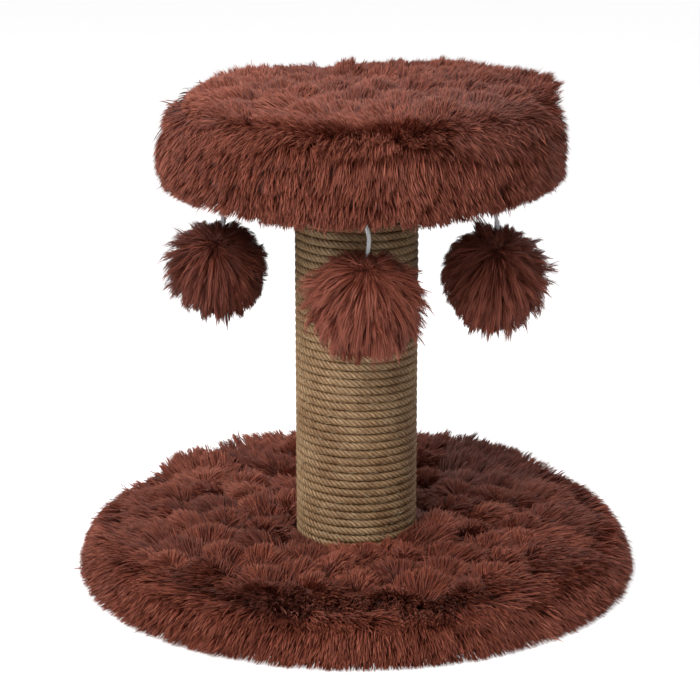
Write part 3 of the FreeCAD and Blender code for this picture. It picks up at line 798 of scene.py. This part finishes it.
PERCH_LOOK = {
    "tufts": tuft_middles(0.0, PERCH_RADIUS - TUFT_RADIUS), "height_at": perch_hollows,
    "skin": [(0, PERCH_SKIN), (PERCH_RADIUS - 4 * MM, PERCH_SKIN),
             (PERCH_RADIUS + BACKING, PERCH_SKIN - 8 * MM)],
    "edge": radius_of("perch_plush_panel") + PERCH_OVERHANG, "first_root": 0.0,
    "last_root": PERCH_RADIUS + BACKING,
    "back": 1.0, "sideways": 0.75, "fans": 0.55, "fan_size": 70 * MM, "own_way": 0.20, "fan_out": 0.30,
    "turn_from": 102 * MM, "turn_out": 1.1, "loose": 0.11, "patchy": 1.3 * MM, "length": 25 * MM,
    "standing": (75, 0.0, 70 * MM), "rolls_from": PERCH_RADIUS - 10 * MM, "squareness": 0.6,
    "rises": [(1.5 * MM, 75, 0.0, 70 * MM), (4 * MM, 41, 84 * MM, 30 * MM)], "seam_rise": 9 * MM,
    "wander": 9 * MM, "fan_rim": 0.25,
    "own_tone": 0.13, "crest_tone": 0.12, "right_tone": 0.26, "field": 31,
    "locks": 2450, "per_lock": 16, "spread": 3.4 * MM, "width": 0.72 * MM, "limit": combed,
}


def offsets(radius, height, rows):
    """Rows (share if any, radius, height) from rows whose last two say millimetres out and up."""
    return [(*row[:-2], radius + row[-2] * MM, height + row[-1] * MM) for row in rows]


def cover_backing(cover, part, outline, ripple=0.4 * MM):
    """Woven backing of a cover's panel or band."""
    cloth = turned_skin("%s_%s_backing" % (cover, part), BACKING_CLOTH, outline, ripple=ripple)
    return finish_piece(cloth, STAND, ["%s_plush_%s" % (cover, part)])


def band_piles(cover, look, wall, gather, ragged, seam, coat, segments, seed):
    """Pile of a side, pile over its seam with the top, and the short hair under both."""
    locks = wall_locks(2900, *wall, seed)
    pile = grow("%s_band_pile" % cover, PLUSH, locks, 13, 5.0 * MM, gather, STRAND_WIDTH, seed + 1,
                look["limit"], ragged)
    locks = seam_locks(700, *seam, look, seed + 4)
    over = grow("%s_seam_pile" % cover, PLUSH, locks, 14, 4.4 * MM, 0.25, STRAND_WIDTH, seed + 5,
                look["limit"])
    under = turned_skin("%s_band_undercoat" % cover, UNDERCOAT, coat, segments, 1.0 * MM, 5 * MM)
    return [finish_piece(piece, STAND) for piece in (pile, over, under)]


def base_cover():
    panel = cover_backing("base", "panel", [
        *offsets(0, BASE_SKIN, [(5, 0), (40, 0), (80, 0), (120, 0)]), (BASE_RADIUS, BASE_SKIN)])
    coat = undercoat("base_panel_undercoat", ROPE_OUTSIDE + POST_CLEARANCE, BASE_RADIUS + 5 * MM, BASE_LOOK,
                     5.5 * MM, 17)
    rings = [ROPE_OUTSIDE + 2 * MM, 106 * MM, 146 * MM, BASE_PARTING + 12 * MM]
    pieces = [finish_piece(coat, STAND), *panel_piles("base", rings, (12, 14, 16), BASE_LOOK)]

    edge = BASE_RADIUS + SKIN_GAP + BACKING
    band = cover_backing("base", "band", [
        *offsets(BASE_RADIUS, 0, [(-17, 0.8), (-8, 0.8)]), *offsets(edge, 0, [(0, 1.0), (0.4, 9)]),
        (edge, BASE_SKIN), (BASE_RADIUS, BASE_SKIN + 0.3 * MM)], 0.15 * MM)
    roots = [(0.0, edge, 2 * MM), (0.75, edge, BASE_SKIN), (1.15, edge - 8 * MM, BASE_SKIN)]
    tips = offsets(BASE_TIPS, 0, [(0.0, 1, 0.8), (0.18, 2.5, 3), (0.5, 1, 9), (0.8, -2, 16), (1.15, -7, 23)])
    wall = (roots, tips, 5.0 * MM, 6 * MM, 3 * MM)
    seam = ((BASE_RADIUS - 1 * MM, BASE_SKIN), (BASE_RADIUS + 20 * MM, 21 * MM), 10 * MM, 26 * MM)
    coat = offsets(edge, 0, [(13, 1.5), (16, 6), (14, 13), (8, 20), (0, 24)])
    pieces = band_piles("base", BASE_LOOK, wall, 0.14, 0.05, seam, coat, 200, 21)


def perch_cover():
    edge = PERCH_RADIUS + SKIN_GAP + BACKING
    panel = cover_backing("perch", "panel", [
        *offsets(0, PERCH_SKIN, [(1, 0), (30, 0), (60, 0), (90, 0)]), (edge, PERCH_SKIN)])
    coat = undercoat("perch_panel_undercoat", 0.5 * MM, PERCH_RADIUS + 6 * MM, PERCH_LOOK, 6.5 * MM, 38)
    rings = [0.0, 81 * MM, 110 * MM, 133 * MM]
    pieces = [finish_piece(coat, STAND), *panel_piles("perch", rings, (32, 34, 36), PERCH_LOOK)]

    band = cover_backing("perch", "band", [
        (PERCH_LINING_RADIUS + SKIN_GAP, PERCH_HEM + 0.5 * MM),
        (PERCH_RADIUS - 6 * MM, PERCH_HEM + 0.5 * MM),
        *offsets(edge, PERCH_HEM, [(0, 1), (0.6, 20)]), (edge, PERCH_SKIN)], 0.15 * MM)
    roots = [(0.0, edge, PERCH_HEM + 1 * MM), (1.0, edge, PERCH_SKIN - 4 * MM),
             (1.1, edge - 3 * MM, PERCH_SKIN)]
    tips = offsets(PERCH_TIPS, PERCH_FRINGE, [(0.0, -11, 0), (0.15, -6, 3), (0.4, -2, 12), (0.7, -0.5, 24),
                                              (0.9, -1, 31), (1.1, -3, 37)])
    wall = (roots, tips, 5.0 * MM, 8 * MM, 5 * MM)
    seam = ((edge - 2 * MM, PERCH_SKIN - 3 * MM), (PERCH_RADIUS + 18 * MM, PERCH_SKIN - 12 * MM),
            18 * MM, 28 * MM)
    coat = offsets(edge, PERCH_FRINGE, [(4, 9), (9, 14), (12, 24), (12, 34), (8, 43), (0, 50)])
    pieces = band_piles("perch", PERCH_LOOK, wall, 0.42, 0.06, seam, coat, 180, 41)


# ---------------------------------------------------------------- rope

ROPE_POINTS = 15            # round the rope, three to a strand
ROPE_SECTIONS = 236         # along one turn
ROPE_TURNS = (high("post_jute_rope") - low("post_jute_rope") - 2 * ROPE_RADIUS) / ROPE_PITCH
ROPE_LOWER_TURNS = math.floor(ROPE_TURNS / 2)
STRAND_LOBES = (0.82, 1.0, 1.0)     # how far each of a strand's points stands out
ROPE_SQUARENESS = 0.7       # 1 for a round section, less for one pressed towards a square


def squared(share):
    """A circle's share pressed towards a square, as turns that lie tight on each other."""
    return np.sign(share) * np.abs(share) ** ROPE_SQUARENESS


def rope_piece(name, first_turn, last_turn, replaced):
    """Turns of the winding as one closed tube whose strands twist as they go."""
    foot = low("post_jute_rope") + ROPE_RADIUS
    turns = last_turn - first_turn
    sections = int(round(turns * ROPE_SECTIONS)) + 1
    angle = 2 * math.pi * np.linspace(first_turn, last_turn, sections)
    centre = on_circle(-angle, ROPE_AXIS, foot + ROPE_PITCH * angle / (2 * math.pi))
    outward = on_circle(-angle, 1.0, 0.0)
    run = ROPE_AXIS * angle
    lobes = STRAND_LOBES * ROPE_STRANDS
    vertices = np.zeros((sections, ROPE_POINTS, 3))
    wobble = 0.05 * MM * noise(centre, 6 * MM, 71)
    for point in range(ROPE_POINTS):
        turn = 2 * math.pi * (point / ROPE_POINTS + run / ROPE_LAY)
        size = (ROPE_RADIUS * lobes[point] + wobble)[:, None]
        across = squared(np.cos(turn))[:, None] * outward + squared(np.sin(turn))[:, None] * UP
        vertices[:, point] = centre + size * across
    faces = ring_faces(sections, ROPE_POINTS)
    faces.append(tuple(range(ROPE_POINTS)))
    faces.append(tuple(reversed(range((sections - 1) * ROPE_POINTS, sections * ROPE_POINTS))))
    rope = mesh_object(name, vertices.reshape(-1, 3), faces, ROPE)
    set_rope_uvs(rope.data, sections)
    return finish_piece(rope, STAND, replaced)


def set_rope_uvs(mesh, sections):
    """Each turn is one strip of the map: along it to the right, round the rope upwards."""
    step = np.repeat(np.arange(sections - 1), ROPE_POINTS)
    point = np.tile(np.arange(ROPE_POINTS), sections - 1)
    turn = step // ROPE_SECTIONS
    across = (step % ROPE_SECTIONS) / ROPE_SECTIONS
    wide = 1.0 / ROPE_SECTIONS
    tall = 1.0 / ROPE_POINTS
    corners = [(across, point * tall), (across, (point + 1) * tall),
               (across + wide, (point + 1) * tall), (across + wide, point * tall)]
    uv = np.stack([np.stack([u, (turn + v) / ROPE_STRIPS], axis=1) for u, v in corners], axis=1)
    caps = np.full((2 * ROPE_POINTS, 2), 0.5)
    add_maps(mesh, np.concatenate([uv.reshape(-1, 2), caps]).astype(np.float32).ravel())


def rope_fuzz(count=7000):
    """Loose fibres that stand off the rope."""
    random = np.random.default_rng(81)
    azimuth = random.uniform(0, 2 * math.pi, count)
    height = random.uniform(low("post_jute_rope") + 2 * MM, high("post_jute_rope") - 3 * MM, count)
    root = on_circle(azimuth, ROPE_OUTSIDE - 0.6 * MM, height)
    outward = on_circle(azimuth, 1.0, 0.0)
    sideways = np.cross(UP, outward)
    length = random.uniform(1.5, 6.0, count)[:, None] * MM
    away = random.uniform(0.2, 1.3, count)[:, None] * MM
    rise = random.normal(size=(count, 1)) * 0.5
    direction = unit(sideways * np.sign(random.normal(size=(count, 1))) + UP * rise)
    tip = root + direction * length + outward * away
    bend = root + direction * length * 0.5 + outward * away * random.uniform(0.3, 1.8, (count, 1))
    tone = random.uniform(0.3, 1.0, count)
    width = random.uniform(0.12, 0.26, count) * MM
    fuzz = strand_object("rope_fuzz", FUZZ, root, bend, tip, width, outward, tone,
                         random.uniform(-0.5, 0.5, count))
    finish_piece(fuzz, STAND)


def post():
    rope_piece("rope_lower_turns", 0.0, ROPE_LOWER_TURNS, ["post_jute_rope"])
    rope_piece("rope_upper_turns", float(ROPE_LOWER_TURNS), ROPE_TURNS, [])
    rope_fuzz()


# ---------------------------------------------------------------- pompoms

def pompom_place(side):
    azimuth = math.radians(POMPOM_AZIMUTHS[side])
    return POMPOM_FROM_AXIS * math.cos(azimuth), POMPOM_FROM_AXIS * math.sin(azimuth)


# The pompoms' tones are painted light and shade: the lit front pompom is lighter, the shaded side ones
# darker.
POMPOM_LOOKS = {  # of each: reach of the fur from the ball's middle, how loose it hangs, its tone, the seed
    "left": (35.5 * MM, 0.8, 0.12, 101),
    "front": (39.0 * MM, 1.5, 0.70, 111),
    "right": (39.0 * MM, 0.9, 0.38, 121),
}
NECK = 3.0 * MM             # kept free round the cord
NECK_FROM = 0.6             # height over the ball's middle, as a share of its core, from which it is free
POMPOM_TO_POST = 33.0 * MM  # reach of the fur on the side of the post, past which it is shortened
# where the fur of each parts and falls away to all sides
WHORLS = {"left": (0.0, -0.85, 1.0), "front": (0.05, -0.6, 1.0), "right": (0.05, -0.85, 1.0)}
POMPOM_FALL = 0.62          # turn between a lock's root and its tip, seen from the ball's middle
POMPOM_LOCKS = 1000
POMPOM_HOLLOW = 0.60        # length of the fur where it parts, as a share of the rest
POMPOM_UPRIGHT = 0.10       # share of the locks that stand straight up from the ball
POMPOM_LONG = 0.38          # share of the locks that run far over the others


def pompom_locks(side, centre, core):
    """Locks that run from the whorl over the ball and out to all sides."""
    # The tone read here is painted light and shade: lighter for the front pompom, darker for the side ones.
    reach, loose, tone, seed = POMPOM_LOOKS[side]
    random = np.random.default_rng(seed)
    count = POMPOM_LOCKS
    order = np.arange(count) + 0.5
    height = 1 - 2 * order / count
    ends = on_circle(GOLDEN_TURN * order, np.sqrt(1 - height ** 2), height)
    drift = np.stack([noise(ends * 30 * MM, 13 * MM, seed + axis) for axis in range(3)], axis=1)
    ends = unit(ends + 0.12 * random.normal(size=(count, 3)) + 0.16 * loose * drift)
    whorl = unit(np.array(WHORLS[side]))
    angle = np.arccos(np.clip(ends @ whorl, -1, 1))
    across = unit(ends - np.cos(angle)[:, None] * whorl)
    kind = random.uniform(size=count)
    upright = kind < POMPOM_UPRIGHT
    long = kind > 1 - POMPOM_LONG
    laid = np.where(upright, 0.1, np.where(long, 1.9, random.normal(1.0, 0.15, count)))
    root_angle = angle - POMPOM_FALL * laid * np.sin(angle)
    direction = np.cos(root_angle)[:, None] * whorl + np.sin(root_angle)[:, None] * across
    root = centre + direction * core * 0.85
    length = reach * (0.91 + 0.05 * loose * drift[:, 0] + 0.080 * random.normal(size=count))
    length *= POMPOM_HOLLOW + (1 - POMPOM_HOLLOW) * ease((angle - math.radians(22)) / math.radians(55))
    tip = centre + ends * length[:, None]
    high = np.where(long, 1.05, 0.62)[:, None]
    bend = centre + unit(direction + 0.35 * ends) * (core + high * (reach - core))
    bend += loose * 2.0 * MM * np.cross(direction, drift)
    return Locks(root, bend, tip, direction, tone + 0.08 * drift[:, 1] + 0.12 * random.normal(size=count))


def pompom_ball(side):
    lower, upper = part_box("%s_pompom_stuffing" % side)
    centre = np.array((lower + upper) / 2)
    core = (upper.x - lower.x) / 2 + BACKING
    to_post = unit(centre * [-1, -1, 0])

    def clear_of_cord(points):
        """Parts the fur round the cord, and keeps it short where the ball swings towards the post."""
        across = points - centre
        away = np.linalg.norm(across, axis=1)
        excess = np.maximum(away - POMPOM_TO_POST, 0) * ease((across @ to_post / away - 0.35) / 0.3)
        across = across * (1 - 0.7 * excess / away)[:, None]
        out = np.linalg.norm(across[:, :2], axis=1)
        above = across[:, 2] > core * NECK_FROM
        factor = np.where(above & (out < NECK), NECK / np.maximum(out, 1e-9), 1.0)
        across[:, :2] *= factor[:, None]
        return centre + across

    body = "%s_pompom_ball_body" % side
    seed = POMPOM_LOOKS[side][-1]
    fur = grow("%s_pompom_pile" % side, POMPOM_PLUSH, pompom_locks(side, centre, core), 17, 2.6 * MM, 0.45,
               0.50 * MM, seed + 7, clear_of_cord, 0.12)
    finish_piece(fur, body, ["%s_pompom_fur" % side])
    skin = ball_skin("%s_pompom_backing" % side, centre, core + 5 * MM, seed)
    finish_piece(skin, body)


def ball_skin(name, centre, radius, seed, rings=20, segments=32):
    """Fur fabric's backing gathered round the stuffing."""
    circles = []
    for tilt in math.pi * np.arange(1, rings) / rings - math.pi / 2:
        circles.append(centre + circle(segments, radius * math.cos(tilt), radius * math.sin(tilt)))
    vertices = np.concatenate([[centre - UP * radius], *circles, [centre + UP * radius]])
    vertices = centre + (vertices - centre) * (1 + 0.04 * noise(vertices, 5 * MM, seed))[:, None]
    faces = ring_faces(rings - 1, segments, 1)
    last = 1 + (rings - 2) * segments
    for index in range(segments):
        after = (index + 1) % segments
        faces.append((0, 1 + after, 1 + index))
        faces.append((last + index, last + after, len(vertices) - 1))
    return mesh_object(name, vertices, faces, UNDERCOAT)


def cord_route(side):
    x, y = pompom_place(side)
    start = low("%s_pompom_knot" % side)
    end = high("%s_pompom_tie" % side)
    return [Vector((x + sideways * MM, y, start + share * (end - start)))
            for sideways, share in CORD_ROUTES[side]]


def smooth_line(points):
    """Points read from the NURBS spline of a route."""
    curve = bpy.data.curves.new("route", "CURVE")
    curve.dimensions = "3D"
    curve.resolution_u = 10
    spline = curve.splines.new("NURBS")
    spline.points.add(len(points) - 1)
    for point, place in zip(spline.points, points):
        point.co = (*place, 1.0)
    spline.order_u = 3
    spline.use_endpoint_u = True
    obj = bpy.data.objects.new("route", curve)
    bpy.context.scene.collection.objects.link(obj)
    bpy.context.view_layer.update()
    mesh = bpy.data.meshes.new_from_object(obj)
    line = [vertex.co.copy() for vertex in mesh.vertices]
    bpy.data.objects.remove(obj)
    return line


def tube(name, line, radius, material, sides=14):
    vertices = []
    for index, place in enumerate(line):
        before = line[max(index - 1, 0)]
        after = line[min(index + 1, len(line) - 1)]
        along = (after - before).normalized()
        first = along.cross(Vector((0, 1, 0))).normalized()
        second = along.cross(first)
        for side in range(sides):
            turn = 2 * math.pi * side / sides
            vertices.append(place + radius * (first * math.cos(turn) + second * math.sin(turn)))
    faces = ring_faces(len(line), sides)
    faces.append(tuple(reversed(range(sides))))
    faces.append(tuple(range((len(line) - 1) * sides, len(line) * sides)))
    return mesh_object(name, vertices, faces, material)


def pompom_cord(side):
    line = smooth_line(cord_route(side))
    cord = tube("%s_elastic_cord" % side, line, CORD_DIAMETER / 2, CORD)
    finish_piece(cord, None, ["%s_pompom_cord" % side])
    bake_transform(cord)


# ---------------------------------------------------------------- surroundings

VIEW_TARGET = Vector((-4.3 * MM, 0.0, 146 * MM))
VIEW_DISTANCE = 1.315
VIEW_ELEVATION = math.radians(15.3)
VIEW_LENS = 102.86
FLOOR_SIZE = 12.0
FLOOR_GLOW = 0.62           # only the camera sees it
WORLD_LIGHT = 0.31          # of the white that the camera sees
LAMPS = {                   # place, size, power
    "key": ((-0.9, -1.3, 1.5), 0.9, 31.0),
    "front": ((-0.9, -1.8, 0.6), 0.8, 4.5),
    "fill": ((1.3, -1.0, 0.8), 1.2, 1.0),
    "top": ((0.1, 0.2, 1.6), 1.0, 6.5),
}


def camera():
    data = bpy.data.cameras.new("camera")
    data.lens = VIEW_LENS
    data.sensor_width = 36.0
    data.clip_end = 20.0
    obj = bpy.data.objects.new("camera", data)
    forward = Vector((0, math.cos(VIEW_ELEVATION), -math.sin(VIEW_ELEVATION)))
    obj.location = VIEW_TARGET - forward * VIEW_DISTANCE
    obj.rotation_euler = (math.radians(90) - VIEW_ELEVATION, 0, 0)
    bpy.context.scene.collection.objects.link(obj)
    bpy.context.scene.camera = obj


def area_light(name, place, size, power, target=(0, 0, 0.16)):
    data = bpy.data.lights.new(name, "AREA")
    data.shape = "DISK"
    data.size = size
    data.energy = power
    obj = bpy.data.objects.new(name, data)
    obj.location = place
    obj.rotation_euler = (Vector(target) - Vector(place)).to_track_quat("-Z", "Y").to_euler()
    bpy.context.scene.collection.objects.link(obj)


def floor():
    pale = Surface("pale_floor", 0.9)
    grain = pale.noise(pale.object_place(), 6.0)
    pale.colour(pale.ramp(grain, [(0.0, (0.90, 0.90, 0.90)), (1.0, (0.94, 0.94, 0.94))]))
    pale.put("Emission Color", (1.0, 1.0, 1.0, 1.0))
    seen = pale.lay("LightPath", {}, "Is Camera Ray")
    pale.put("Emission Strength", pale.maths("MULTIPLY", seen, FLOOR_GLOW))
    half = FLOOR_SIZE / 2
    plane = mesh_object("floor", [(-half, -half, 0), (half, -half, 0), (half, half, 0), (-half, half, 0)],
                        [(0, 1, 2, 3)], pale.owner)
    bpy.context.scene.collection.objects.link(plane)


def world():
    scene_world = bpy.data.worlds.new("studio")
    bpy.context.scene.world = scene_world
    white = Tree(scene_world)
    seen = white.lay("LightPath", {}, "Is Camera Ray")
    mirrored = seen.node.outputs["Is Glossy Ray"]
    strength = white.lay("MapRange", {"Value": white.maths("MAXIMUM", seen, mirrored),
                                      "To Min": WORLD_LIGHT, "To Max": 1.0}, "Result")
    white.feed(white.nodes["Background"], {"Strength": strength, "Color": (1.0, 1.0, 1.0, 1.0)})


def surroundings():
    bpy.context.scene.view_settings.view_transform = "Standard"
    camera()
    floor()
    world()
    for name, (place, size, power) in LAMPS.items():
        area_light(name, place, size, power)


# ---------------------------------------------------------------- all of it

surroundings()
dress_frame_nodes()
for pompom in POMPOM_AZIMUTHS:
    pompom_cord(pompom)
    pompom_ball(pompom)
base_cover()
perch_cover()
post()
